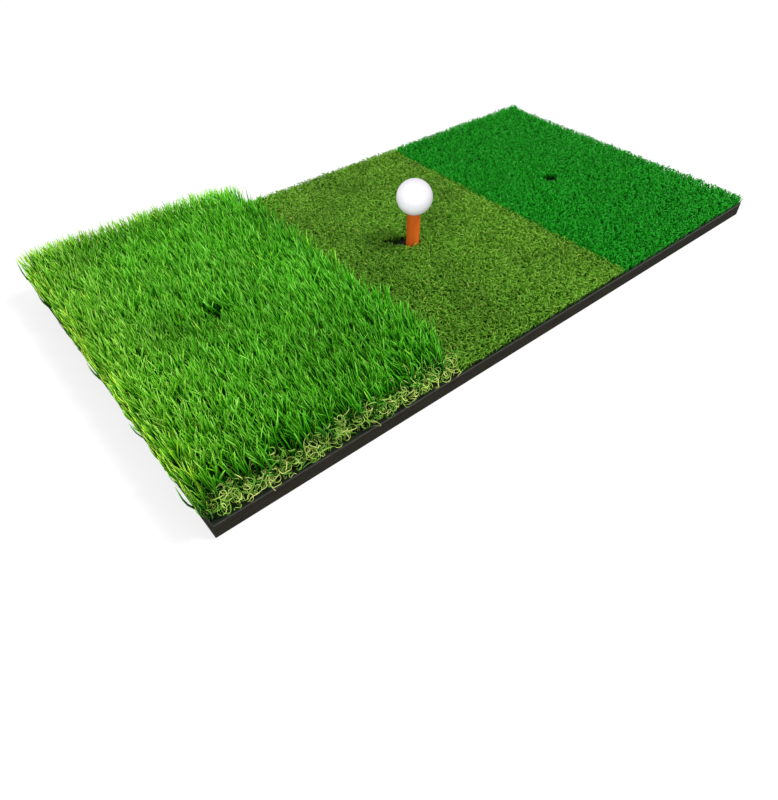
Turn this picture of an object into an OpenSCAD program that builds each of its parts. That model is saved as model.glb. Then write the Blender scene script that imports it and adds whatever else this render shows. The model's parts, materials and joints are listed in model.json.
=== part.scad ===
// Golf hitting mat: three kinds of turf on one rubber base, a rubber tee and a ball.
// The origin is the centre of the base's underside. +X runs along the mat from the
// rough to the tee turf, +Y runs across it, +Z is up.

/* [Mat] */
// Length over the three turfs
mat_length = 800; // [600:10:1200]
// Width of the mat
mat_width = 400; // [300:5:600]
// Thickness of the rubber base
base_thick = 15; // [8:1:24]

/* [Turf backing] */
// Thickness of the glue under each turf
glue_thick = 0.4; // [0.2:0.1:1]
// Thickness of the latex coat that locks the tufts
latex_thick = 1; // [0.5:0.1:2]
// Thickness of the woven cloth that the tufts are sewn through
cloth_thick = 0.8; // [0.4:0.1:1.5]
// Gap between one turf and the next
seam_gap = 0.4; // [0.2:0.1:1]

/* [Pile] */
// Height of the rough's blades above their cloth
rough_blade_h = 37; // [24:1:50]
// Height of the curly thatch between the rough's blades
rough_thatch_h = 13; // [6:1:18]
// Height of the fairway's curled pile above its cloth
fairway_pile_h = 8.5; // [5:0.5:15]
// Height of the tee turf's pile above its cloth
tee_turf_pile_h = 9.5; // [5:0.5:15]
// Rows of tufts in the rough
rough_rows = 28; // [12:1:40]
// Rows of tufts in the fairway and in the tee turf
short_rows = 56; // [24:1:80]

/* [Tee holes] */
// Shift of the rough's hole from the middle of its turf
rough_hole_shift = -13; // [-60:1:60]
// Shift of the fairway's hole from the middle of its turf
fairway_hole_shift = -13; // [-60:1:60]
// Shift of the tee turf's hole from the middle of its turf
tee_turf_hole_shift = -21; // [-60:1:60]

/* [Tee] */
// Diameter of the tee's stem
stem_d = 16; // [12:0.5:20]
// Diameter of the hole up through the tee
stem_bore_d = 10; // [4:0.5:10]
// Height of the tee's rim above the floor
rim_z = 64; // [50:1:80]
// Diameter of the flange under the base
flange_d = 36; // [26:1:50]
// Thickness of the flange
flange_thick = 3; // [2:0.5:5]

/* [Ball] */
// Diameter of the ball
ball_d = 42.67; // [42.67:0.01:43]
// Thickness of the ball's cover
ball_cover_thick = 2; // [1:0.1:3]

/* [Hidden] */
$fn = 96;
section_pitch = mat_length / 3;
turf_length = section_pitch - seam_gap;
rough_x = -section_pitch;
fairway_x = 0;
tee_turf_x = section_pitch;
latex_z = base_thick + glue_thick;
cloth_z = latex_z + latex_thick;
pile_z = cloth_z + cloth_thick;

// the holes for the tee, one in each turf; the tee and the ball stand in the fairway's
rough_hole_x = rough_x + rough_hole_shift;
fairway_hole_x = fairway_x + fairway_hole_shift;
tee_turf_hole_x = tee_turf_x + tee_turf_hole_shift;
stem_clear = 0.2;
turf_hole_d = stem_d + 1.4;
base_hole_d = stem_d + 2 * stem_clear;
flange_clear = 0.5;
recess_d = flange_d + 2 * flange_clear;
recess_depth = flange_thick + 2 * flange_clear;

// the rows of tufts
rough_groove = 7;
short_groove = 1.5;
root_share = 0.4;

// the ball rests on a ring inside the tee's rim
ball_r = ball_d / 2;
rest_gap = 0.05;
rim_edge = 0.8;
rest_r = stem_d / 2 - rim_edge - 0.4;
ball_z = rim_z + sqrt(ball_r * ball_r - rest_r * rest_r);

cut = 1;

// The hole for the tee through a stretch of turf.
module turf_hole(hole_x, z, height) {
    translate([hole_x, 0, z - cut]) cylinder(d = turf_hole_d, h = height + 2 * cut);
}

// One flat layer of a turf, with the tee's hole through it.
module turf_layer(x, hole_x, z, thick) {
    difference() {
        translate([x - turf_length / 2, -mat_width / 2, z])
            cube([turf_length, mat_width, thick]);
        turf_hole(hole_x, z, thick);
    }
}

// Pile sewn in rows across the mat: each row stands up to a ridge, with a groove
// between it and the next.
module tuft_rows(x, hole_x, z, height, rows, groove) {
    pitch = turf_length / rows;
    start = -turf_length / 2;
    ridges = [for (i = [0 : rows - 1]) each
        [[start + i * pitch, height - groove], [start + (i + 0.5) * pitch, height]]];
    outline = concat(ridges, [[-start, height - groove], [-start, 0], [start, 0]]);
    difference() {
        translate([x, 0, z]) rotate([90, 0, 0])
            linear_extrude(mat_width, center = true) polygon(outline);
        turf_hole(hole_x, z, height);
    }
}

// A strip across the mat for each gap between two of the rough's rows.
module gap_strips(height) {
    pitch = turf_length / rough_rows;
    gap = pitch * (1 - root_share);
    for (i = [1 : rough_rows - 1])
        translate([-turf_length / 2 + i * pitch - gap / 2, -mat_width / 2, 0])
            cube([gap, mat_width, height]);
}

// The slab under all three turfs, with a hole for the tee in each turf and a recess
// for its flange underneath.
module rubber_base() {
    color("#2d2a27") difference() {
        translate([-mat_length / 2, -mat_width / 2, 0])
            cube([mat_length, mat_width, base_thick]);
        for (x = [rough_hole_x, fairway_hole_x, tee_turf_hole_x]) translate([x, 0, -cut]) {
            cylinder(d = base_hole_d, h = base_thick + 2 * cut);
            cylinder(d = recess_d, h = recess_depth + cut);
        }
    }
}

module glue_film(x, hole_x) {
    color("#c9b98a") turf_layer(x, hole_x, base_thick, glue_thick);
}

module latex_coat(x, hole_x) {
    color("#26262a") turf_layer(x, hole_x, latex_z, latex_thick);
}

module backing_cloth(x, hole_x) {
    color("#3a3f36") turf_layer(x, hole_x, cloth_z, cloth_thick);
}

// Curly yarn that fills the gaps between the rough's rows, around the blades' feet.
module rough_thatch() {
    color("#b5ad5e") difference() {
        translate([rough_x, 0, pile_z]) gap_strips(rough_thatch_h);
        turf_hole(rough_hole_x, pile_z, rough_thatch_h);
    }
}

// The long blades: a row of roots under each ridge, joined above the thatch.
module rough_blades() {
    color("#4fae1d") difference() {
        tuft_rows(rough_x, rough_hole_x, pile_z, rough_blade_h, rough_rows, rough_groove);
        translate([rough_x, 0, pile_z - cut])
            gap_strips(rough_thatch_h + cut);
    }
}

module fairway_pile() {
    color("#67802c")
        tuft_rows(fairway_x, fairway_hole_x, pile_z, fairway_pile_h, short_rows, short_groove);
}

module tee_turf_pile() {
    color("#1f8227")
        tuft_rows(tee_turf_x, tee_turf_hole_x, pile_z, tee_turf_pile_h, short_rows, short_groove);
}

// A tube on a flange, dished at the rim to hold the ball.
module rubber_tee() {
    bore_r = stem_bore_d / 2;
    stem_r = stem_d / 2;
    foot_z = flange_clear;
    flange_top = foot_z + flange_thick;
    color("#cf5a22") translate([fairway_hole_x, 0, 0]) difference() {
        rotate_extrude() polygon([
            [bore_r, foot_z],
            [flange_d / 2, foot_z],
            [flange_d / 2, flange_top],
            [stem_r, flange_top],
            [stem_r, rim_z - rim_edge],
            [stem_r - rim_edge, rim_z],
            [bore_r, rim_z]
        ]);
        translate([0, 0, ball_z]) sphere(r = ball_r + rest_gap);
    }
}

module ball_core() {
    color("#e8e4d6") translate([fairway_hole_x, 0, ball_z]) sphere(r = ball_r - ball_cover_thick);
}

module ball_cover() {
    color("white") translate([fairway_hole_x, 0, ball_z]) difference() {
        sphere(r = ball_r);
        sphere(r = ball_r - ball_cover_thick);
    }
}

rubber_base();
glue_film(rough_x, rough_hole_x);  // rough_glue
latex_coat(rough_x, rough_hole_x);  // rough_latex_coat
backing_cloth(rough_x, rough_hole_x);  // rough_backing_cloth
rough_thatch();
rough_blades();
glue_film(fairway_x, fairway_hole_x);  // fairway_glue
latex_coat(fairway_x, fairway_hole_x);  // fairway_latex_coat
backing_cloth(fairway_x, fairway_hole_x);  // fairway_backing_cloth
fairway_pile();
glue_film(tee_turf_x, tee_turf_hole_x);  // tee_turf_glue
latex_coat(tee_turf_x, tee_turf_hole_x);  // tee_turf_latex_coat
backing_cloth(tee_turf_x, tee_turf_hole_x);  // tee_turf_backing_cloth
tee_turf_pile();
rubber_tee();
ball_core();
ball_cover();
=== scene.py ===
"""The looks of the golf hitting mat: pile, thatch, a lathed tee and a dimpled ball on the CAD frame.

Metres, in the frame of the CAD model: the origin is the centre of the base's underside, +X runs from the
rough to the tee turf, +Y across the mat, +Z up.
"""

import json
import math

import bmesh
import bpy
import numpy as np
from mathutils import Matrix, Vector


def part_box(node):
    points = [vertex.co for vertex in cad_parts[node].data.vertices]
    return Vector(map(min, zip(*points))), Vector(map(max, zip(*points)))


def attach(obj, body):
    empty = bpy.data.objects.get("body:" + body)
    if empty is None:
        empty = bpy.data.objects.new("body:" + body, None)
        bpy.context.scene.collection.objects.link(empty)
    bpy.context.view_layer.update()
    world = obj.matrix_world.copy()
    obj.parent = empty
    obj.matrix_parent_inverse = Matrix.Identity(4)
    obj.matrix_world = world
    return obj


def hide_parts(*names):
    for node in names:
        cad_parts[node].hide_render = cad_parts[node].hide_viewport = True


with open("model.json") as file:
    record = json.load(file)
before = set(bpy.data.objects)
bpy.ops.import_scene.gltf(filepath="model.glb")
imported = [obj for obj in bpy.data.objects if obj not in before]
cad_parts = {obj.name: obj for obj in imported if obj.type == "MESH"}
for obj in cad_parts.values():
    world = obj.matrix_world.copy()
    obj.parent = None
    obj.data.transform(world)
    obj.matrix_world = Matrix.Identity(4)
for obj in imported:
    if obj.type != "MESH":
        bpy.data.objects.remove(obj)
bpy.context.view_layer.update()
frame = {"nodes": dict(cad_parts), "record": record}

MM = 0.001
DENSITY = 1.0
STRAND_MAP = "OFBake"  # the name of the strands' map, which their materials read
STRAND_MAP_WIDTH = 1 / 48  # the share of the map's width that one strand takes
PALE_FROM = 0.86  # strands with a shade above this are the pale, yellowed ones
ROOT_DEPTH = 0.3 * MM

# ---------------------------------------------------------------- places taken from the frame

BASE_LOW, BASE_HIGH = (np.array(c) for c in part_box("rubber_base"))
MAT_LENGTH = BASE_HIGH[0] - BASE_LOW[0]
TEE_LOW, TEE_HIGH = (np.array(c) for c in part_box("rubber_tee"))
TEE_AXIS = (TEE_LOW + TEE_HIGH)[:2] / 2
BALL_LOW, BALL_HIGH = (np.array(c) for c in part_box("ball_cover"))
BALL_CENTRE = (BALL_LOW + BALL_HIGH) / 2
BALL_RADIUS = (BALL_HIGH - BALL_LOW).max() / 2


class Turf:
    """The stretch that a turf's strands are rooted in, the top of its cloth and its tee hole."""

    def __init__(self, name, hole):
        low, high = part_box(name + "_backing_cloth")
        self.name = name
        self.left, self.front = low[0], low[1]
        self.right, self.back = high[0], high[1]
        self.cloth = high[2]
        self.hole = hole


def bore(name):
    """The place on the floor of a hole that the record states as a mount."""
    mount = next(m for m in frame["record"]["mounts"] if m["name"] == name)
    return np.array(mount["pos_m"][:2])


ROUGH = Turf("rough", bore("rough_tee_hole"))
FAIRWAY = Turf("fairway", TEE_AXIS)
TEE_TURF = Turf("tee_turf", bore("tee_turf_tee_hole"))


# ---------------------------------------------------------------- shader building

class Nodes:
    """A material's node tree with short ways to add and join its nodes."""

    def __init__(self, name):
        self.material = bpy.data.materials.new(name)
        self.material.use_nodes = True
        self.tree = self.material.node_tree
        self.shader = self.tree.nodes["Principled BSDF"]

    def add(self, kind, inputs=None, **settings):
        """A node of this kind, with its settings, and its inputs set to values or joined to outputs."""
        node = self.tree.nodes.new("ShaderNode" + kind)
        for key, value in settings.items():
            setattr(node, key, value)
        for key, value in (inputs or {}).items():
            self.feed(node, key, value)
        return node

    def feed(self, node, key, value):
        """Joins an output to an input, or sets the input's own value."""
        if isinstance(value, bpy.types.NodeSocket):
            self.tree.links.new(value, node.inputs[key])
        else:
            node.inputs[key].default_value = value

    def surface(self, **inputs):
        """Feeds the Principled shader, with _ in place of the blanks in its inputs' names."""
        for key, value in inputs.items():
            self.feed(self.shader, key.replace("_", " "), value)

    def place(self, stretch=(1, 1, 1)):
        """The point on the object, stretched along its axes."""
        where = self.add("TexCoord").outputs["Object"]
        return self.add("Mapping", {"Vector": where, "Scale": stretch}).outputs["Vector"]

    def noise(self, scale, detail=2.0, stretch=(1, 1, 1)):
        """Smooth noise from 0 to 1, this many waves to the metre."""
        inputs = {"Vector": self.place(stretch), "Scale": scale, "Detail": detail}
        return self.add("TexNoise", inputs).outputs["Fac"]

    def ramp(self, factor, *stops):
        """A colour for a number from 0 to 1, from (position, colour) stops."""
        node = self.add("ValToRGB", {"Fac": factor})
        elements = node.color_ramp.elements
        while len(elements) < len(stops):
            elements.new(0.5)
        for element, (position, colour) in zip(elements, stops):
            element.position = position
            element.color = (*colour, 1)
        return node.outputs["Color"]

    def spread(self, factor, low, high, from_low=0.3, from_high=0.7):
        """A number moved from one range to another."""
        inputs = {"Value": factor, "From Min": from_low, "From Max": from_high}
        inputs |= {"To Min": low, "To Max": high}
        return self.add("MapRange", inputs).outputs["Result"]

    def mix(self, factor, a, b, blend="MIX"):
        """Two colours mixed."""
        node = self.add("Mix", {"Factor": factor}, data_type="RGBA", blend_type=blend)
        colour_a, colour_b, colour_out = 6, 7, 2  # the node has sockets of these names for each data type
        self.feed(node, colour_a, a)
        self.feed(node, colour_b, b)
        return node.outputs[colour_out]

    def bump(self, height, strength, distance):
        """A normal that follows a height."""
        inputs = {"Height": height, "Strength": strength, "Distance": distance}
        return self.add("Bump", inputs).outputs["Normal"]


def srgb(red, green, blue):
    """A linear colour from screen numbers of 0 to 255."""
    channels = (c / 255 for c in (red, green, blue))
    return tuple(c / 12.92 if c <= 0.04045 else ((c + 0.055) / 1.055) ** 2.4 for c in channels)


def shaded(colour):
    """A colour with the alpha that a colour input takes."""
    return (*colour, 1)


PATCHES_PER_METRE = 14
RIBS_PER_METRE = 5200


def yarn_material(name, stops, tints, gloss, patch, sheen=0.22, painted_light_drift=None):
    """Plastic yarn: the colour runs along each strand, and differs between strands and between places.

    The strand's map holds its own shade in U and the height along it in V: the stops are colours along it,
    dark at the root as painted shade where the pile shades itself, and the tints are for its shade, the last
    two of them for the pale strands. The gloss is the colour of the highlight and the sheen its strength, the
    patch says how much the colour drifts in patches, and the painted_light_drift is a list of (place along X,
    tint) stops for painted light, a slow drift of brightness along the mat."""
    n = Nodes(name)
    uv = n.add("UVMap", uv_map=STRAND_MAP).outputs["UV"]
    split = n.add("SeparateXYZ", {"Vector": uv})
    own, along = split.outputs["X"], split.outputs["Y"]
    # the colour along the strand, dark at the root as painted shade, times the tint of its own shade
    colour = n.mix(1.0, n.ramp(along, *stops), n.ramp(own, *tints), "MULTIPLY")
    patches = n.noise(PATCHES_PER_METRE, 3)
    colour = n.mix(1.0, colour, n.spread(patches, 1 - patch, 1 + patch), "MULTIPLY")
    # painted light: a slow drift of brightness along the mat
    if painted_light_drift:
        start, stop = painted_light_drift[0][0], painted_light_drift[-1][0]
        along_mat = n.add("SeparateXYZ", {"Vector": n.place()}).outputs["X"]
        stops = [((x - start) / (stop - start), tint) for x, tint in painted_light_drift]
        colour = n.mix(1.0, colour, n.ramp(n.spread(along_mat, 0, 1, start, stop), *stops), "MULTIPLY")
    ribs = n.noise(RIBS_PER_METRE, 2, (1, 1, 0.08))
    n.surface(
        Base_Color=colour,
        Roughness=n.spread(ribs, 0.42, 0.6),
        Specular_IOR_Level=sheen,
        Specular_Tint=shaded(gloss),
        Normal=n.bump(ribs, 0.35, 0.0002),
    )
    return n.material


# ---------------------------------------------------------------- strands

def follow(base, tilt, heading, length):
    """The centre lines of strands with this tilt from upright and this heading at each of their rings.

    Returns the points and the directions, as (strand, ring, xyz)."""
    direction = np.stack(
        [np.sin(tilt) * np.cos(heading), np.sin(tilt) * np.sin(heading), np.cos(tilt)], axis=2
    )
    between = (direction[:, :-1] + direction[:, 1:]) / 2
    step = between * (length / (tilt.shape[1] - 1))[:, None, None]
    run = np.concatenate([np.zeros_like(step[:, :1]), np.cumsum(step, axis=1)], axis=1)
    return base[:, None, :] + run, direction


def strand_paths(base, lean, bend, heading, turn, length, rings, upright):
    """Centre lines of strands: each leaves its root at an angle lean from upright, in the direction of its
    heading, and bends and turns by those angles up to its tip, later on the way the higher upright is."""
    t = np.linspace(0, 1, rings)[None, :]
    tilt = lean[:, None] + bend[:, None] * t**upright
    return follow(base, tilt, heading[:, None] + turn[:, None] * t, length)


def strand_sides(direction, twist, width, thickness, taper):
    """The half width and the thickness of each ring as vectors, for flat strands twisted about their run."""
    level = np.stack([-direction[..., 1], direction[..., 0], np.zeros_like(direction[..., 0])], axis=2)
    level += np.array([1e-4, 0, 0])  # so that an upright strand has a level side too
    level /= np.linalg.norm(level, axis=2, keepdims=True)
    front = np.cross(direction, level)
    angle = twist[:, :, None]
    side = np.cos(angle) * level + np.sin(angle) * front
    lift = np.cross(side, direction)
    return side * (width[:, None] / 2 * taper)[:, :, None], lift * (thickness * taper)[:, :, None]


class Strands:
    """Closed three-sided strands: their centre lines, their rings' sides and lifts, and their own shades."""

    def __init__(self, paths, sides, lifts, shades):
        self.paths, self.sides, self.lifts, self.shades = paths, sides, lifts, shades

    def only(self, chosen):
        """The chosen strands."""
        return Strands(self.paths[chosen], self.sides[chosen], self.lifts[chosen], self.shades[chosen])

    def clear_of(self, hole, radius):
        """The strands that stay outside a round shaft over a hole."""
        away = np.hypot(self.paths[..., 0] - hole[0], self.paths[..., 1] - hole[1])
        return self.only(away.min(axis=1) > radius)

    def mesh(self, name):
        """One mesh, with each strand's shade and height in its map."""
        count, rings = self.paths.shape[:2]
        corners_of_ring = (self.paths - self.sides, self.paths + self.lifts, self.paths + self.sides)
        points = np.stack(corners_of_ring, axis=2)
        index = np.arange(count * rings * 3).reshape(count, rings, 3)
        low, high = index[:, :-1], index[:, 1:]
        walls = np.stack([low, np.roll(low, -1, 2), np.roll(high, -1, 2), high], axis=3).reshape(-1, 4)
        ends = np.concatenate([index[:, 0, ::-1], index[:, -1]])
        corners = np.concatenate([walls.ravel(), ends.ravel()])
        starts = np.concatenate([np.arange(len(walls)) * 4, len(walls) * 4 + np.arange(len(ends)) * 3])

        mesh = bpy.data.meshes.new(name)
        mesh.vertices.add(points.size // 3)
        mesh.vertices.foreach_set("co", points.ravel())
        mesh.loops.add(len(corners))
        mesh.loops.foreach_set("vertex_index", corners)
        mesh.polygons.add(len(starts))
        mesh.polygons.foreach_set("loop_start", starts)
        mesh.update(calc_edges=True)

        own = self.shades[:, None, None] * (1 - STRAND_MAP_WIDTH)
        across = own + STRAND_MAP_WIDTH * np.array([0, 0.5, 1])
        across = np.broadcast_to(across, (count, rings, 3))
        along = np.broadcast_to(np.linspace(0, 1, rings)[None, :, None], (count, rings, 3))
        uv = np.stack([across, along], axis=3).reshape(-1, 2)[corners]
        mesh.uv_layers.new(name=STRAND_MAP).uv.foreach_set("vector", uv.ravel())
        mesh.shade_smooth()
        return mesh


def add_piece(name, mesh, material, body, *nodes):
    """Puts a mesh in the scene as a piece that rides on a body and stands for CAD nodes."""
    obj = bpy.data.objects.new(name, mesh)
    bpy.context.scene.collection.objects.link(obj)
    mesh.materials.append(material)
    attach(obj, body)
    if nodes:
        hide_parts(*nodes)
    return obj


def grow(node, material, strips, strands):
    """Pieces of a pile, in strips across the mat, that stand for its CAD node."""
    x = strands.paths[:, 0, 0]
    edges = np.quantile(x, np.linspace(0, 1, strips + 1))
    edges[-1] += MM
    for i, (start, stop) in enumerate(zip(edges, edges[1:]), 1):
        name = f"{node}_{i}"
        add_piece(name, strands.only((x >= start) & (x < stop)).mesh(name), material, "mat", node)


def rows_of_roots(rng, x_range, y_range, pitch, jitter):
    """Roots in rows across the mat, each a little off its stitch."""
    x = np.linspace(*x_range, round((x_range[1] - x_range[0]) / pitch[0]))
    y = np.linspace(*y_range, round((y_range[1] - y_range[0]) / pitch[1]))
    roots = np.stack(np.meshgrid(x, y, indexing="ij"), axis=2).reshape(-1, 2)
    return roots + rng.uniform(-jitter, jitter, roots.shape)


def on_cloth(turf, roots):
    """The roots as points, set a little into the cloth so that no strand floats."""
    return np.column_stack([roots, np.full(len(roots), turf.cloth - ROOT_DEPTH)])


def near(distance, reach):
    """1 at an edge, falling to 0 this far from it."""
    return np.clip(1 - distance / reach, 0, 1)


def own_shades(rng, pale_share, lift=0.0):
    """Each strand's own shade: dark to bright below PALE_FROM, and above it for the share that is pale."""
    count = len(pale_share)
    margin = 0.02
    shade = np.clip(rng.uniform(0, PALE_FROM, count) + lift, 0, PALE_FROM - margin)
    pale = rng.random(count) < pale_share
    return np.where(pale, rng.uniform(PALE_FROM + margin, 1, count), shade)


# ---------------------------------------------------------------- the rough

ROUGH_PITCH = (9.5 * MM, 6.6 * MM)
BLADES_PER_TUFT = 12
BLADE_LENGTH = 42.5 * MM
BLADE_LIMITS = (24 * MM, 53 * MM)
BLADE_WIDTHS = (1.5 * MM, 2.6 * MM)
BLADE_THICK = 0.35 * MM
LEFT_REACH = (5 * MM, 11 * MM)  # how far blades may stand past the turf's left edge
BACK_REACH = (15 * MM, 20.5 * MM)
LEAN_BACK = 0.28  # all the blades lean back by about this angle
COMBED_LEFT = 0.15  # and to the left by up to this much more, from the left edge to the right one


def joined(groups):
    """One set of strands from several with the same number of rings."""
    parts = ("paths", "sides", "lifts", "shades")
    return Strands(*(np.concatenate([getattr(group, part) for group in groups]) for part in parts))


def reined_in(distance, reach):
    """Distances past an edge, bent smoothly so that none is over the reach; those before it stay."""
    past = np.maximum(distance, 0)
    return np.where(distance > 0, past / (1 + (past / reach) ** 4) ** 0.25, distance)


def blades(rng, roots, lean_x, lean_y, length, pale_share, lift):
    """Long flat blades from these roots. The lean is a level vector, and lift brightens the shades."""
    turf = ROUGH
    count = len(roots)
    paths, direction = strand_paths(
        on_cloth(turf, roots),
        lean=np.hypot(lean_x, lean_y),
        bend=rng.uniform(0.02, 0.5, count),
        heading=np.arctan2(lean_y, lean_x),
        turn=rng.normal(0, 0.35, count),
        length=length.clip(*BLADE_LIMITS),
        rings=6,
        upright=1.5,
    )
    left_reach = rng.uniform(*LEFT_REACH, count)[:, None]
    back_reach = rng.uniform(*BACK_REACH, count)[:, None]
    paths[..., 0] = turf.left - reined_in(turf.left - paths[..., 0], left_reach)
    paths[..., 1] = turf.back + reined_in(paths[..., 1] - turf.back, back_reach)
    rings = paths.shape[1]
    t = np.linspace(0, 1, rings)
    twist = rng.uniform(-1.4, 1.4, count)[:, None] + rng.uniform(-0.8, 0.8, count)[:, None] * t
    taper = np.broadcast_to(np.interp(t, [0, 0.15, 0.75, 1], [0.7, 1, 0.85, 0.2]), (count, rings))
    width = rng.uniform(*BLADE_WIDTHS, count)
    sides, lifts = strand_sides(direction, twist, width, BLADE_THICK, taper)
    return Strands(paths, sides, lifts, own_shades(rng, pale_share, lift))


def tuft_places(rng):
    """The tufts' places in rows, with gaps near the front edge, where the thatch shows."""
    turf = ROUGH
    x_range = (turf.left + 4.5 * MM, turf.right - 4.5 * MM)
    y_range = (turf.front + 5 * MM, turf.back - 3.5 * MM)
    tufts = rows_of_roots(rng, x_range, y_range, ROUGH_PITCH, 1.5 * MM)
    gaps = 0.42 * near(tufts[:, 1] - turf.front - 4 * MM, 18 * MM)
    return tufts[rng.random(len(tufts)) > gaps]


def tufted_blades(rng):
    """Fanned tufts in rows, each tuft with a lean and a length of its own."""
    turf = ROUGH
    tufts = tuft_places(rng)
    tuft_lean = rng.normal(0, 0.10, tufts.shape)
    tuft_length = rng.normal(0, 1.6 * MM, len(tufts))
    tuft = np.repeat(np.arange(len(tufts)), BLADES_PER_TUFT)
    tuft = tuft[rng.random(len(tuft)) < DENSITY]
    count = len(tuft)
    roots = tufts[tuft] + rng.normal(0, 1.4 * MM, (count, 2))
    roots = np.clip(roots, (turf.left + MM, turf.front + 4 * MM), (turf.right - MM, turf.back - MM))
    from_left, from_right = roots[:, 0] - turf.left, turf.right - roots[:, 0]
    from_front, from_back = roots[:, 1] - turf.front, turf.back - roots[:, 1]

    # the lean drifts over the turf, and the edges pull it their own way
    along = from_left / (from_left + from_right)
    lean_x = -0.03 - COMBED_LEFT * along - 0.08 * along * near(from_back, 60 * MM)
    lean_x = lean_x + 0.06 * near(from_right, 12 * MM)
    lean_x += 0.05 * near(from_left, 60 * MM) - 0.06 * near(from_front, 40 * MM)
    lean_y = LEAN_BACK - 0.12 * near(from_front, 14 * MM)
    spread = 0.17
    lean_x = lean_x + tuft_lean[tuft, 0] + rng.normal(0, spread, count)
    lean_y = lean_y + tuft_lean[tuft, 1] + rng.normal(0, spread, count)

    # longer at the back, shorter at the left and at the corner beside the fairway
    length = rng.normal(BLADE_LENGTH, 3.6 * MM, count) + tuft_length[tuft] + 5 * MM * near(from_back, 20 * MM)
    at_corner = near(from_right, 50 * MM) * near(from_back, 50 * MM)
    length -= 6 * MM * near(from_left, 10 * MM) + 10 * MM * at_corner

    # paler at the free edges, where more strands are yellowed; the lift is painted light: brighter towards
    # the left end, brighter along the back edge where the blades stand lit through against the light, and
    # darker towards the front
    pale_share = 0.012 + 0.35 * near(from_left, 12 * MM) + 0.3 * near(from_back, 10 * MM)
    lift = 0.2 * near(from_left, 90 * MM) + 0.25 * near(from_back, 30 * MM)
    lift -= 0.08 * near(from_front, 150 * MM)
    return blades(rng, roots, lean_x, lean_y, length, pale_share, lift)


def edge_blades(rng):
    """Blades set close along the free edges: combed outwards on the left one, upright on the back one."""
    turf = ROUGH
    # the lift is painted light: these edge blades are brightened as if lit through from behind
    pale_share, lift = 0.55, 0.4
    left_x = (turf.left + 1.5 * MM, turf.left + 6 * MM)
    left_y = (turf.front + 5 * MM, turf.back - 2 * MM)
    left = rows_of_roots(rng, left_x, left_y, (2.2 * MM, 1.7 * MM), 0.8 * MM)
    back_x = (turf.left + 2 * MM, turf.right - 2 * MM)
    back_y = (turf.back - 8 * MM, turf.back - 1.5 * MM)
    back = rows_of_roots(rng, back_x, back_y, (1.6 * MM, 1.6 * MM), 0.8 * MM)
    many, more = len(left), len(back)
    outward = 0.10 + 0.26 * near(left[:, 1] - turf.front, turf.back - turf.front)
    combed = blades(
        rng, left,
        lean_x=rng.normal(-outward, 0.14),
        lean_y=rng.normal(0.24, 0.16, many),
        length=rng.normal(32 * MM, 4 * MM, many),
        pale_share=np.full(many, pale_share),
        lift=lift,
    )
    upright = blades(
        rng, back,
        lean_x=rng.normal(-0.08, 0.15, more),
        lean_y=rng.normal(0.27, 0.12, more),
        length=rng.normal(48 * MM, 2.5 * MM, more) - 10 * MM * near(turf.right - back[:, 0], 50 * MM),
        pale_share=np.full(more, pale_share),
        lift=lift,
    )
    return joined([combed, upright])


def rough_blades():
    """All the blades, with a clear shaft over the tee hole."""
    rng = np.random.default_rng(11)
    return joined([tufted_blades(rng), edge_blades(rng)]).clear_of(ROUGH.hole, 9.6 * MM)


# ---------------------------------------------------------------- the thatch

THATCH_OVERHANG = 3.5 * MM
THATCH_HANG = 5 * MM  # how far down the base's front side the thatch may hang
THATCH_WIDTHS = (0.6 * MM, 1.1 * MM)
THATCH_THICK = 0.4 * MM


def lie_on_cloth(paths):
    """Keeps curled strands above the cloth, and lets those past the front edge hang a little over it."""
    turf = ROUGH
    past = paths[..., 1] < turf.front - 0.9 * MM
    lowest = np.where(past, turf.cloth - THATCH_HANG, turf.cloth + 0.5 * MM)
    paths[..., 2] = np.maximum(paths[..., 2], lowest)
    paths[..., 1] = np.clip(paths[..., 1], turf.front - THATCH_OVERHANG, turf.back + THATCH_OVERHANG)
    paths[..., 0] = np.maximum(paths[..., 0], turf.left - 0.5 * THATCH_OVERHANG)


def curls(rng, roots, length, rise, turns, pale_share):
    """The thatch's yarn: each strand rises, the longer the higher rise is, and then curls back over itself,
    with its heading turned by an angle in the range that turns gives."""
    turf = ROUGH
    count, rings = len(roots), 19
    t = np.linspace(0, 1, rings)[None, :]

    def each(low, high):
        return rng.uniform(low, high, count)[:, None]

    tilt = each(0.1, 0.7) + each(0.9, 2.1) * t**rise
    tilt = tilt + each(0.25, 0.95) * np.sin(each(3.5, 11) * t + each(0, 6.3))
    heading = each(-math.pi, math.pi) + rng.choice([-1, 1], count)[:, None] * each(*turns) * t
    paths, direction = follow(on_cloth(turf, roots), tilt, heading, each(*length)[:, 0])
    lie_on_cloth(paths)
    twist = np.repeat(each(-1.5, 1.5), rings, axis=1)
    taper = np.broadcast_to(np.interp(t[0], [0, 0.1, 0.85, 1], [0.8, 1, 0.9, 0.5]), (count, rings))
    width = rng.uniform(*THATCH_WIDTHS, count)
    sides, lifts = strand_sides(direction, twist, width, THATCH_THICK, taper)
    strands = Strands(paths, sides, lifts, own_shades(rng, np.full(count, pale_share)))
    at_corner = (paths[..., 0] < turf.left + MM) & (paths[..., 1] < turf.front + MM)
    return strands.only(~at_corner.any(axis=1))


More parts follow.
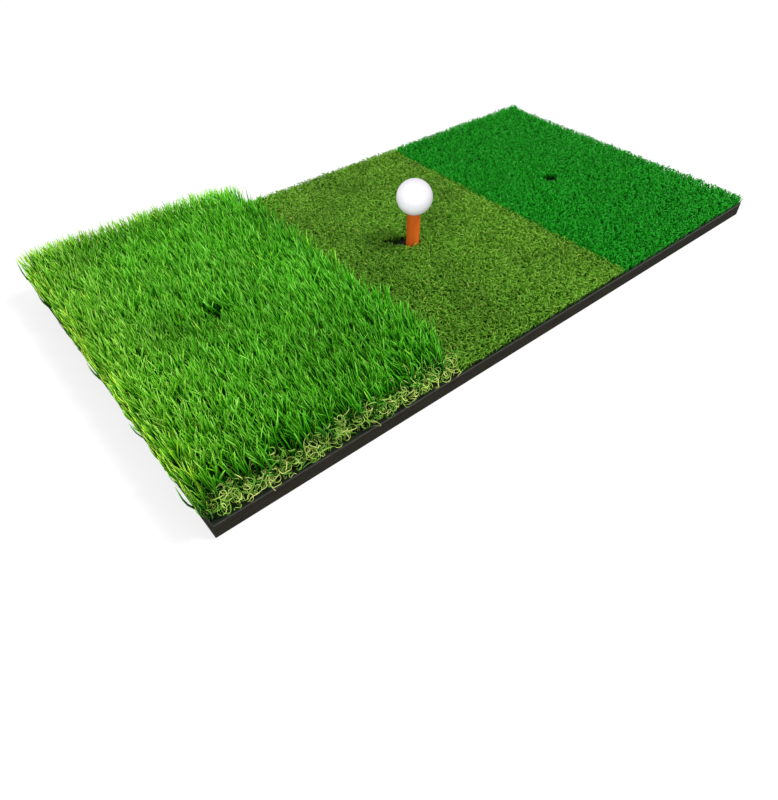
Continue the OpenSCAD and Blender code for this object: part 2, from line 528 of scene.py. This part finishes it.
def rough_thatch():
    """Curly yarn round the blades' feet, thickest and tallest along the front cut edge."""
    rng = np.random.default_rng(12)
    turf = ROUGH
    across = (turf.left + 2 * MM, turf.right - 2 * MM)
    inner_y = (turf.front + 26 * MM, turf.back - 3 * MM)
    front_y = (turf.front + 3 * MM, turf.front + 22 * MM)
    side_x = (turf.left + 3 * MM, turf.left + 7 * MM)
    side_y = (turf.front + 5 * MM, turf.back - 3 * MM)
    inner = rows_of_roots(rng, across, inner_y, (9.5 * MM, 13 * MM), 3 * MM)
    front = rows_of_roots(rng, across, front_y, (2.3 * MM, 2.9 * MM), 1.8 * MM)
    side = rows_of_roots(rng, side_x, side_y, (3 * MM, 4 * MM), 1.2 * MM)
    groups = [
        curls(rng, inner, length=(18 * MM, 28 * MM), rise=0.8, turns=(3, 9), pale_share=0.1),
        curls(rng, front, length=(20 * MM, 42 * MM), rise=1.5, turns=(3, 12), pale_share=0.42),
        curls(rng, side, length=(16 * MM, 24 * MM), rise=0.9, turns=(5, 10), pale_share=0.85),
    ]
    return joined(groups).clear_of(turf.hole, 7.0 * MM)


# ---------------------------------------------------------------- the short turfs

STITCH_PITCH = 4.3 * MM
STITCH_INSET = 1.7 * MM
CURL_THICK = 0.45 * MM
SHADOW_SIDE = np.array([-0.78, 0.62])  # the side of the tee on which its shadow falls and the gap in the pile is cut
GAP_REACH, GAP_HALF_WIDTH = 40 * MM, 12.5 * MM


def stitched_roots(rng, turf, per_stitch):
    """The yarns' roots, with twice as many in each stitch along the back edge, where the pile splays."""
    x_range = (turf.left + STITCH_INSET, turf.right - STITCH_INSET)
    y_range = (turf.front + STITCH_INSET, turf.back - STITCH_INSET)
    stitches = rows_of_roots(rng, x_range, y_range, (STITCH_PITCH, STITCH_PITCH), 1.0 * MM)
    at_back = turf.back - stitches[:, 1] < 8 * MM
    roots = np.repeat(stitches, np.where(at_back, 2 * per_stitch, per_stitch), axis=0)
    roots = roots + rng.normal(0, 1.0 * MM, roots.shape)
    roots = roots[rng.random(len(roots)) < DENSITY]
    margin = 0.7 * MM
    lowest = (turf.left + margin, turf.front + margin)
    return np.clip(roots, lowest, (turf.right - margin, turf.back - margin))


def curled_pile(turf, seed, per_stitch, length, width, curl, shaft):
    """Short upright yarn, sewn in close rows, whose tips lie over into the pile."""
    rng = np.random.default_rng(seed)
    roots = stitched_roots(rng, turf, per_stitch)
    count, rings = len(roots), 5
    from_back = turf.back - roots[:, 1]
    own_length = rng.normal(length, length * 0.08, count) + 4 * MM * near(from_back, 20 * MM)
    paths, direction = strand_paths(
        on_cloth(turf, roots),
        lean=rng.uniform(0.02, 0.3, count),
        bend=rng.uniform(*curl, count),
        heading=rng.uniform(-math.pi, math.pi, count),
        turn=rng.normal(0, 0.9, count),
        length=own_length,
        rings=rings,
        upright=2.4,
    )
    t = np.linspace(0, 1, rings)
    paths[..., 1] += 7.5 * MM * near(from_back, 9 * MM)[:, None] * t**1.3

    # every strand may stand a little past the turf's edges, less at the seams than at the free edges
    overhang = rng.uniform(0.1 * MM, 1.2 * MM, count)[:, None]
    paths[..., 0] = np.clip(paths[..., 0], turf.left - overhang, turf.right + overhang)
    paths[..., 1] = np.clip(paths[..., 1], turf.front - 2.2 * overhang, turf.back + 6.5 * overhang)

    twist = rng.normal(0, 0.5, count)[:, None] + rng.uniform(-0.9, 0.9, count)[:, None] * t
    taper = np.broadcast_to(np.interp(t, [0, 0.2, 0.8, 1], [0.8, 1, 1, 0.7]), (count, rings))
    own_width = rng.uniform(0.75 * width, 1.25 * width, count)
    sides, lifts = strand_sides(direction, twist, own_width, CURL_THICK, taper)
    from_hole = np.hypot(*(roots - turf.hole).T)
    pale_share = 0.02 + 0.4 * near(from_hole - shaft, 3 * MM)
    # painted light: the pile made brighter towards the back edge
    lift = 0.14 * near(from_back, 220 * MM)
    return Strands(paths, sides, lifts, own_shades(rng, pale_share, lift)).clear_of(turf.hole, shaft)


def parted_for_shadow(strands):
    """The fairway's strands without those in a gap on one side of the stem, which narrows away from it:
    partly the opening round the tee, partly a painted shadow, cut wide so that the dark cloth shows where the
    tee's shadow falls."""
    from_tee = strands.paths[..., :2] - TEE_AXIS
    out = from_tee @ SHADOW_SIDE
    aside = np.abs(from_tee @ np.array([-SHADOW_SIDE[1], SHADOW_SIDE[0]]))
    in_gap = (out > 0) & (aside < GAP_HALF_WIDTH * (1 - out / GAP_REACH))
    return strands.only(~in_gap.any(axis=1))


# ---------------------------------------------------------------- the tee and the ball

def arc(centre_r, centre_z, radius, start, stop, steps=6):
    """Points of an arc in the plane of a lathe's profile, with its angles in degrees."""
    angles = np.radians(np.linspace(start, stop, steps))
    return [(centre_r + radius * math.cos(a), centre_z + radius * math.sin(a)) for a in angles]


def lathe_mesh(name, profile, centre, around=96):
    """A closed solid of revolution from a ring of (radius, height) points that goes round its section."""
    section = np.array(profile)
    angles = np.linspace(0, 2 * math.pi, around, endpoint=False)[:, None]
    x = centre[0] + np.cos(angles) * section[None, :, 0]
    y = centre[1] + np.sin(angles) * section[None, :, 0]
    z = np.broadcast_to(section[None, :, 1], x.shape)
    points = np.stack([x, y, z], axis=2).reshape(-1, 3)
    index = np.arange(len(points)).reshape(around, len(section))
    nxt = np.roll(index, -1, 0)
    faces = np.stack([index, nxt, np.roll(nxt, -1, 1), np.roll(index, -1, 1)], axis=2).reshape(-1, 4)
    mesh = bpy.data.meshes.new(name)
    mesh.from_pydata(points.tolist(), [], faces.tolist())
    mesh.shade_smooth()
    return mesh


def tee_mesh():
    """The tee as moulded: a rounded flange, a small fillet up to the stem, and a lip dished for the ball."""
    bore_r, stem_r = 5 * MM, 8 * MM
    flange_r = (TEE_HIGH - TEE_LOW)[0] / 2
    foot, rim = TEE_LOW[2], TEE_HIGH[2]
    flange_top = foot + 3 * MM
    lip = 0.8 * MM
    fillet = 0.6 * MM
    root = 0.1 * MM
    rest = BALL_RADIUS + 0.05 * MM
    seat = np.linspace(stem_r - 1.6 * lip, bore_r, 7)
    dish = [(r, min(BALL_CENTRE[2] - math.sqrt(rest**2 - r**2), rim)) for r in seat]
    profile = (
        arc(flange_r - fillet, foot + fillet, fillet, -90, 0)
        + arc(flange_r - fillet, flange_top - fillet, fillet, 0, 90)
        + arc(stem_r + root, flange_top + root, root, -90, -180, 3)
        + [(stem_r, z) for z in np.linspace(flange_top + 2 * MM, rim - 2 * MM, 12)]
        + arc(stem_r - lip, rim - lip, lip, 0, 90)
        + dish
        + [(bore_r, z) for z in np.linspace(dish[-1][1] - 2 * MM, foot + 2 * MM, 12)]
        + [(bore_r, foot)]
    )
    return lathe_mesh("rubber_tee_moulded", profile, TEE_AXIS)


def dimple_centres(frequency):
    """Directions spread evenly over a ball: points on an icosahedron's faces, divided this many times."""
    shell = bmesh.new()
    bmesh.ops.create_icosphere(shell, subdivisions=1, radius=1)
    found = {}
    for face in shell.faces:
        a, b, c = (v.co for v in face.verts)
        for i in range(frequency + 1):
            for j in range(frequency + 1 - i):
                point = (a * i + b * j + c * (frequency - i - j)).normalized()
                found[tuple(round(x, 5) for x in point)] = point  # the faces share their edges' points
    shell.free()
    return np.array(list(found.values()))


def ball_mesh():
    """The ball's cover: a fine sphere with round dimples pressed into it, and a hollow for the core."""
    centres = dimple_centres(6)
    dimple_r, depth = 1.75 * MM, 0.16 * MM
    core_low, core_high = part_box("ball_core")
    core_r = (core_high[0] - core_low[0]) / 2
    shell = bmesh.new()
    bmesh.ops.create_icosphere(shell, subdivisions=7, radius=1)
    shell.verts.ensure_lookup_table()
    unit = np.array([v.co for v in shell.verts])
    unit /= np.linalg.norm(unit, axis=1, keepdims=True)
    closest = np.full(len(unit), -1.0)
    for centre in centres:
        closest = np.maximum(closest, unit @ centre)
    reach = np.arccos(closest.clip(-1, 1)) * BALL_RADIUS / dimple_r
    pressed = depth * (1 - reach.clip(0, 1) ** 2) ** 1.5
    for vert, direction, dent in zip(shell.verts, unit, pressed):
        vert.co = Vector(direction * (BALL_RADIUS - dent) + BALL_CENTRE)
    hollow = bmesh.ops.create_icosphere(shell, subdivisions=5, radius=core_r)
    bmesh.ops.translate(shell, verts=hollow["verts"], vec=Vector(BALL_CENTRE))
    inner_faces = {f for v in hollow["verts"] for f in v.link_faces}
    bmesh.ops.reverse_faces(shell, faces=list(inner_faces))
    mesh = bpy.data.meshes.new("ball_cover_dimpled")
    shell.to_mesh(mesh)
    shell.free()
    mesh.shade_smooth()
    return mesh


# ---------------------------------------------------------------- materials of the yarns

def rough_yarn():
    """Bright green blades with painted shade at their feet and a painted sheen on the brightest, some
    yellowed.
    """
    # along the blade: painted shade at the foot, where the pile shades itself, up to full colour at the lit
    # tip
    along = [(0.0, srgb(4, 34, 1)), (0.45, srgb(16, 82, 2)),
             (0.72, srgb(54, 148, 8)), (1.0, srgb(122, 204, 56))]
    # the tint at 0.84, a pale bluish white, is a painted highlight: the brightest ordinary strands carry a
    # painted sheen
    tints = [(0.0, (0.35, 0.65, 0.22)), (0.35, (0.75, 0.92, 0.6)), (0.65, (1.03, 1.05, 0.95)),
             (0.84, (2.1, 1.48, 3.4)), (0.88, (2.4, 1.5, 1.4)), (1.0, (3.4, 1.6, 2.6))]
    left, right = ROUGH.left, ROUGH.right
    # painted light: lighter and yellower towards the rough's left end, darker and greener towards the right
    painted_light_drift = [(left, (1.15, 0.96, 0.95)), (left + 0.3 * (right - left), (0.84, 0.89, 0.93)),
            (right, (0.72, 0.94, 0.88))]
    return yarn_material("rough_yarn", along, tints, gloss=(0.6, 1.0, 0.2), patch=0.22, painted_light_drift=painted_light_drift)


def thatch_yarn():
    """Curled yarn, from green through olive to straw."""
    # along the strand: painted shade at the root, where the pile shades it, lightening towards the curled end
    along = [(0.0, srgb(50, 92, 20)), (0.35, srgb(112, 160, 50)), (1.0, srgb(140, 186, 80))]
    tints = [(0.0, (0.3, 0.65, 0.25)), (0.45, (0.8, 1.0, 0.65)), (0.85, (1.5, 1.25, 1.5)),
             (0.88, (1.9, 1.25, 1.9)), (1.0, (2.8, 1.7, 3.4))]
    return yarn_material("thatch_yarn", along, tints, gloss=(1.0, 1.0, 0.7), patch=0.15)


def fairway_yarn():
    """Olive green curls of mixed brightness."""
    # along the curl: painted shade at the root, where the pile shades it, up to the lit tip
    along = [(0.0, srgb(24, 56, 2)), (0.5, srgb(67, 119, 17)),
             (0.85, srgb(96, 150, 41)), (1.0, srgb(116, 168, 62))]
    tints = [(0.0, (0.48, 0.66, 0.32)), (0.45, (0.92, 0.96, 0.75)), (0.85, (1.4, 1.2, 1.5)),
             (0.88, (2.0, 1.3, 2.0)), (1.0, (2.6, 1.5, 3.0))]
    return yarn_material("fairway_yarn", along, tints, gloss=(0.7, 1.0, 0.4), patch=0.2, sheen=0.15)


def tee_turf_yarn():
    """Even, deep green curls."""
    # along the curl: painted shade at the root, where the pile shades it, up to the lit tip
    along = [(0.0, srgb(4, 84, 5)), (0.5, srgb(13, 122, 13)),
             (0.85, srgb(25, 141, 25)), (1.0, srgb(38, 152, 40))]
    tints = [(0.0, (0.65, 0.86, 0.7)), (0.45, (0.97, 0.99, 0.97)), (0.85, (1.35, 1.12, 1.35)),
             (0.88, (2.5, 1.2, 2.5)), (1.0, (6.0, 1.4, 6.0))]
    # painted light: the pile brighter towards the right end
    painted_light_drift = [(TEE_TURF.left, (1.0, 1.0, 1.0)), (TEE_TURF.right, (1.15, 1.07, 1.2))]
    return yarn_material(
        "tee_turf_yarn", along, tints, gloss=(0.15, 1.0, 0.15), patch=0.08, sheen=0.15, painted_light_drift=painted_light_drift
    )


# ---------------------------------------------------------------- materials of the solid pieces

def base_rubber():
    """Foamed black rubber with cut sides: a fine grain, faint lines from the knife and a little pale dust."""
    n = Nodes("base_rubber")
    grain = n.noise(1900, 4)
    knife = n.noise(260, 3, (0.12, 0.12, 4))
    dust = n.noise(620, 5)
    colour = n.ramp(knife, (0.3, srgb(27, 25, 20)), (0.7, srgb(41, 39, 32)))
    colour = n.mix(n.spread(dust, 0, 0.35, 0.58, 0.8), colour, shaded(srgb(84, 82, 66)))
    height = n.add("Math", {0: grain, 1: knife}, operation="ADD").outputs["Value"]
    n.surface(
        Base_Color=colour,
        Roughness=n.spread(grain, 0.8, 1.0),
        Specular_IOR_Level=0.04,
        Normal=n.bump(height, 0.8, 0.0005),
    )
    return n.material


def woven_backing():
    """Flat woven tape, dark, with the pile's green showing through it."""
    n = Nodes("woven_backing")
    tapes = {"Scale": 190.0, "Distortion": 0.6}
    warp = n.add("TexWave", {"Vector": n.place(), **tapes}, bands_direction="X").outputs["Fac"]
    weft = n.add("TexWave", {"Vector": n.place(), **tapes}, bands_direction="Y").outputs["Fac"]
    weave = n.add("Math", {0: warp, 1: weft}, operation="MULTIPLY").outputs["Value"]
    n.surface(
        Base_Color=n.ramp(weave, (0.0, srgb(12, 20, 9)), (1.0, srgb(28, 38, 20))),
        Roughness=n.spread(weave, 0.65, 0.9, 0, 1),
        Specular_IOR_Level=0.2,
        Normal=n.bump(weave, 0.5, 0.0003),
    )
    return n.material


def latex_coat():
    """Black latex, rolled on, with small blisters."""
    n = Nodes("latex_coat")
    blister = n.noise(900, 3)
    n.surface(
        Base_Color=n.ramp(blister, (0.3, srgb(20, 20, 19)), (0.75, srgb(40, 39, 36))),
        Roughness=n.spread(blister, 0.5, 0.8),
        Specular_IOR_Level=0.3,
        Normal=n.bump(blister, 0.6, 0.0004),
    )
    return n.material


def glue_film():
    """Dried glue, dull and unevenly spread, with pale flecks where it was squeezed out."""
    n = Nodes("glue_film")
    spread = n.noise(420, 4, (0.5, 0.5, 1))
    n.surface(
        Base_Color=n.ramp(spread, (0.45, srgb(34, 32, 29)), (0.75, srgb(104, 100, 88))),
        Roughness=n.spread(spread, 0.35, 0.7),
        Normal=n.bump(spread, 0.5, 0.0003),
    )
    return n.material


def tee_rubber():
    """Orange moulded rubber: a soft sheen, a fine grain, faint flow marks and scuffs."""
    n = Nodes("tee_rubber")
    grain = n.noise(2600, 4)
    flow = n.noise(120, 3, (1, 1, 0.25))
    scuff = n.noise(700, 5, (1, 1, 0.4))
    colour = n.ramp(flow, (0.3, srgb(199, 84, 15)), (0.7, srgb(214, 102, 27)))
    colour = n.mix(n.spread(scuff, 0, 0.3, 0.6, 0.8), colour, shaded(srgb(168, 68, 16)))
    n.surface(
        Base_Color=colour,
        Roughness=n.spread(grain, 0.42, 0.6),
        Specular_IOR_Level=0.3,
        Normal=n.bump(grain, 0.25, 0.0002),
    )
    return n.material


def cover_plastic():
    """The ball's white cover under a clear coat, with faint grubby marks."""
    n = Nodes("cover_plastic")
    marks = n.noise(90, 5)
    fine = n.noise(1400, 3)
    clean, grubby = shaded(srgb(226, 222, 231)), shaded(srgb(212, 208, 217))
    colour = n.mix(n.spread(marks, 0, 0.15, 0.6, 0.85), clean, grubby)
    n.surface(
        Base_Color=colour,
        Roughness=n.spread(fine, 0.3, 0.42),
        Coat_Weight=0.25,
        Coat_Roughness=0.25,
        Normal=n.bump(fine, 0.06, 0.0001),
    )
    return n.material


def core_rubber():
    """The ball's core: pale cast rubber."""
    n = Nodes("core_rubber")
    cast = n.noise(300, 4)
    n.surface(
        Base_Color=n.ramp(cast, (0.3, srgb(214, 208, 190)), (0.7, srgb(236, 232, 220))),
        Roughness=n.spread(cast, 0.6, 0.8),
        Normal=n.bump(cast, 0.3, 0.0003),
    )
    return n.material


def paint(material, *nodes):
    """Gives a material to CAD nodes that stay as they are."""
    for name in nodes:
        mesh = frame["nodes"][name].data
        mesh.materials.clear()
        mesh.materials.append(material)


# ---------------------------------------------------------------- the object

def build_mat():
    """The base and the layers from the frame, and the pile grown on them."""
    paint(base_rubber(), "rubber_base")
    rounding = frame["nodes"]["rubber_base"].modifiers.new("cut edges", "BEVEL")
    rounding.width = 0.6 * MM
    rounding.segments = 2
    rounding.limit_method = "ANGLE"
    turfs = (ROUGH.name, FAIRWAY.name, TEE_TURF.name)
    paint(glue_film(), *(t + "_glue" for t in turfs))
    paint(latex_coat(), *(t + "_latex_coat" for t in turfs))
    paint(woven_backing(), *(t + "_backing_cloth" for t in turfs))

    grow("rough_blades", rough_yarn(), 4, rough_blades())
    grow("rough_thatch", thatch_yarn(), 2, rough_thatch())
    fairway = curled_pile(
        FAIRWAY, seed=21, per_stitch=6, length=13.2 * MM, width=1.35 * MM, curl=(1.3, 2.4), shaft=9.0 * MM
    )
    grow("fairway_pile", fairway_yarn(), 5, parted_for_shadow(fairway))
    tee_turf = curled_pile(
        TEE_TURF, seed=22, per_stitch=5, length=12.5 * MM, width=1.4 * MM, curl=(0.9, 1.9), shaft=9.6 * MM
    )
    grow("tee_turf_pile", tee_turf_yarn(), 5, tee_turf)


def build_tee_and_ball():
    """The lathed tee, the dimpled cover and the core inside it."""
    add_piece("rubber_tee_moulded", tee_mesh(), tee_rubber(), "tee", "rubber_tee")
    ball = add_piece("ball_cover_dimpled", ball_mesh(), cover_plastic(), "ball", "ball_cover")
    paint(core_rubber(), "ball_core")
    return ball


# ---------------------------------------------------------------- the studio

WORLD_LIGHT = 0.8  # what the white room gives off
WORLD_SEEN = 0.91  # how bright it looks behind the floor
FLOOR_HALF = 12.0
FLOOR_DROP = 1 * MM  # so that the floor and the base's underside don't share a plane


def floor():
    """A plain pale floor with a glow of its own, which softens the shadows on it.

    It rides on the tee: the tee comes out downwards, so meanwhile the mat stands that much above it."""
    n = Nodes("floor")
    n.surface(
        Base_Color=shaded((0.2, 0.2, 0.2)),
        Roughness=0.9,
        Specular_IOR_Level=0.0,
        Emission_Color=shaded((1, 1, 1)),
        Emission_Strength=0.75,
    )
    mesh = bpy.data.meshes.new("floor")
    corners = [(x * FLOOR_HALF, y * FLOOR_HALF, -FLOOR_DROP) for x, y in ((-1, -1), (1, -1), (1, 1), (-1, 1))]
    mesh.from_pydata(corners, [], [(0, 1, 2, 3)])
    mesh.materials.append(n.material)
    obj = bpy.data.objects.new("floor", mesh)
    bpy.context.scene.collection.objects.link(obj)
    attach(obj, "tee")


def lamp(name, place, aim, size, power):
    """A square soft light that faces a point."""
    data = bpy.data.lights.new(name, "AREA")
    data.size = size
    data.energy = power
    obj = bpy.data.objects.new(name, data)
    obj.visible_camera = False
    obj.location = place
    obj.rotation_euler = (Vector(aim) - Vector(place)).to_track_quat("-Z", "Y").to_euler()
    bpy.context.scene.collection.objects.link(obj)
    return obj


def studio(ball):
    """A white room: even light from all round, a soft fill, and a key light from the right.

    The ball would be overexposed under that key, so it has a weaker one of its own, and a weak light from the
    left that reaches nothing else."""
    world = bpy.data.worlds.new("studio")
    world.use_nodes = True
    nodes, links = world.node_tree.nodes, world.node_tree.links
    nodes["Background"].inputs["Color"].default_value = (1, 1, 1, 1)
    seen = nodes.new("ShaderNodeLightPath").outputs["Is Camera Ray"]
    strength = nodes.new("ShaderNodeMapRange")
    strength.inputs["To Min"].default_value = WORLD_LIGHT
    strength.inputs["To Max"].default_value = WORLD_SEEN
    links.new(seen, strength.inputs["Value"])
    links.new(strength.outputs["Result"], nodes["Background"].inputs["Strength"])
    bpy.context.scene.world = world
    middle = (0, 0, 0)
    key_place, key_size = (2.55, -2.04, 5.1), 1.5
    key = lamp("key", key_place, middle, key_size, power=330)
    key_on_ball = lamp("key on the ball", key_place, middle, key_size, power=60)
    lamp("fill", (-2.6, -2.6, 1.8), middle, size=3.2, power=72)
    bounce = lamp("bounce", (-1.3, -0.6, 0.15), BALL_CENTRE, size=1.2, power=14)
    for light, state in ((key, "EXCLUDE"), (key_on_ball, "INCLUDE"), (bounce, "INCLUDE")):
        lit = bpy.data.collections.new(light.name + " lights")
        lit.objects.link(ball)
        lit.collection_objects[0].light_linking.link_state = state
        light.light_linking.receiver_collection = lit
    bpy.context.scene.view_settings.view_transform = "Standard"
    bpy.context.scene.view_settings.look = "None"


def camera():
    """The view across the mat from the rough's front corner."""
    data = bpy.data.cameras.new("camera")
    data.sensor_fit = "VERTICAL"
    data.sensor_height = 36
    data.lens = 29.94
    data.shift_x = 0.0281
    data.shift_y = -0.0693
    data.clip_start = 0.01
    obj = bpy.data.objects.new("camera", data)
    azimuth, elevation, roll = (math.radians(a) for a in (51.42, 40.94, -0.42))
    eye = Vector((-0.6151, -0.6363, 0.5773)) * MAT_LENGTH
    forward = Vector((
        math.cos(elevation) * math.cos(azimuth),
        math.cos(elevation) * math.sin(azimuth),
        -math.sin(elevation),
    ))
    right = forward.cross(Vector((0, 0, 1))).normalized()
    up = right.cross(forward)
    turned_right = right * math.cos(roll) + up * math.sin(roll)
    turned_up = up * math.cos(roll) - right * math.sin(roll)
    axes = Matrix((turned_right, turned_up, -forward)).transposed()
    obj.matrix_world = Matrix.Translation(eye) @ axes.to_4x4()
    bpy.context.scene.collection.objects.link(obj)
    bpy.context.scene.camera = obj


build_mat()
ball_cover = build_tee_and_ball()
floor()
studio(ball_cover)
camera()
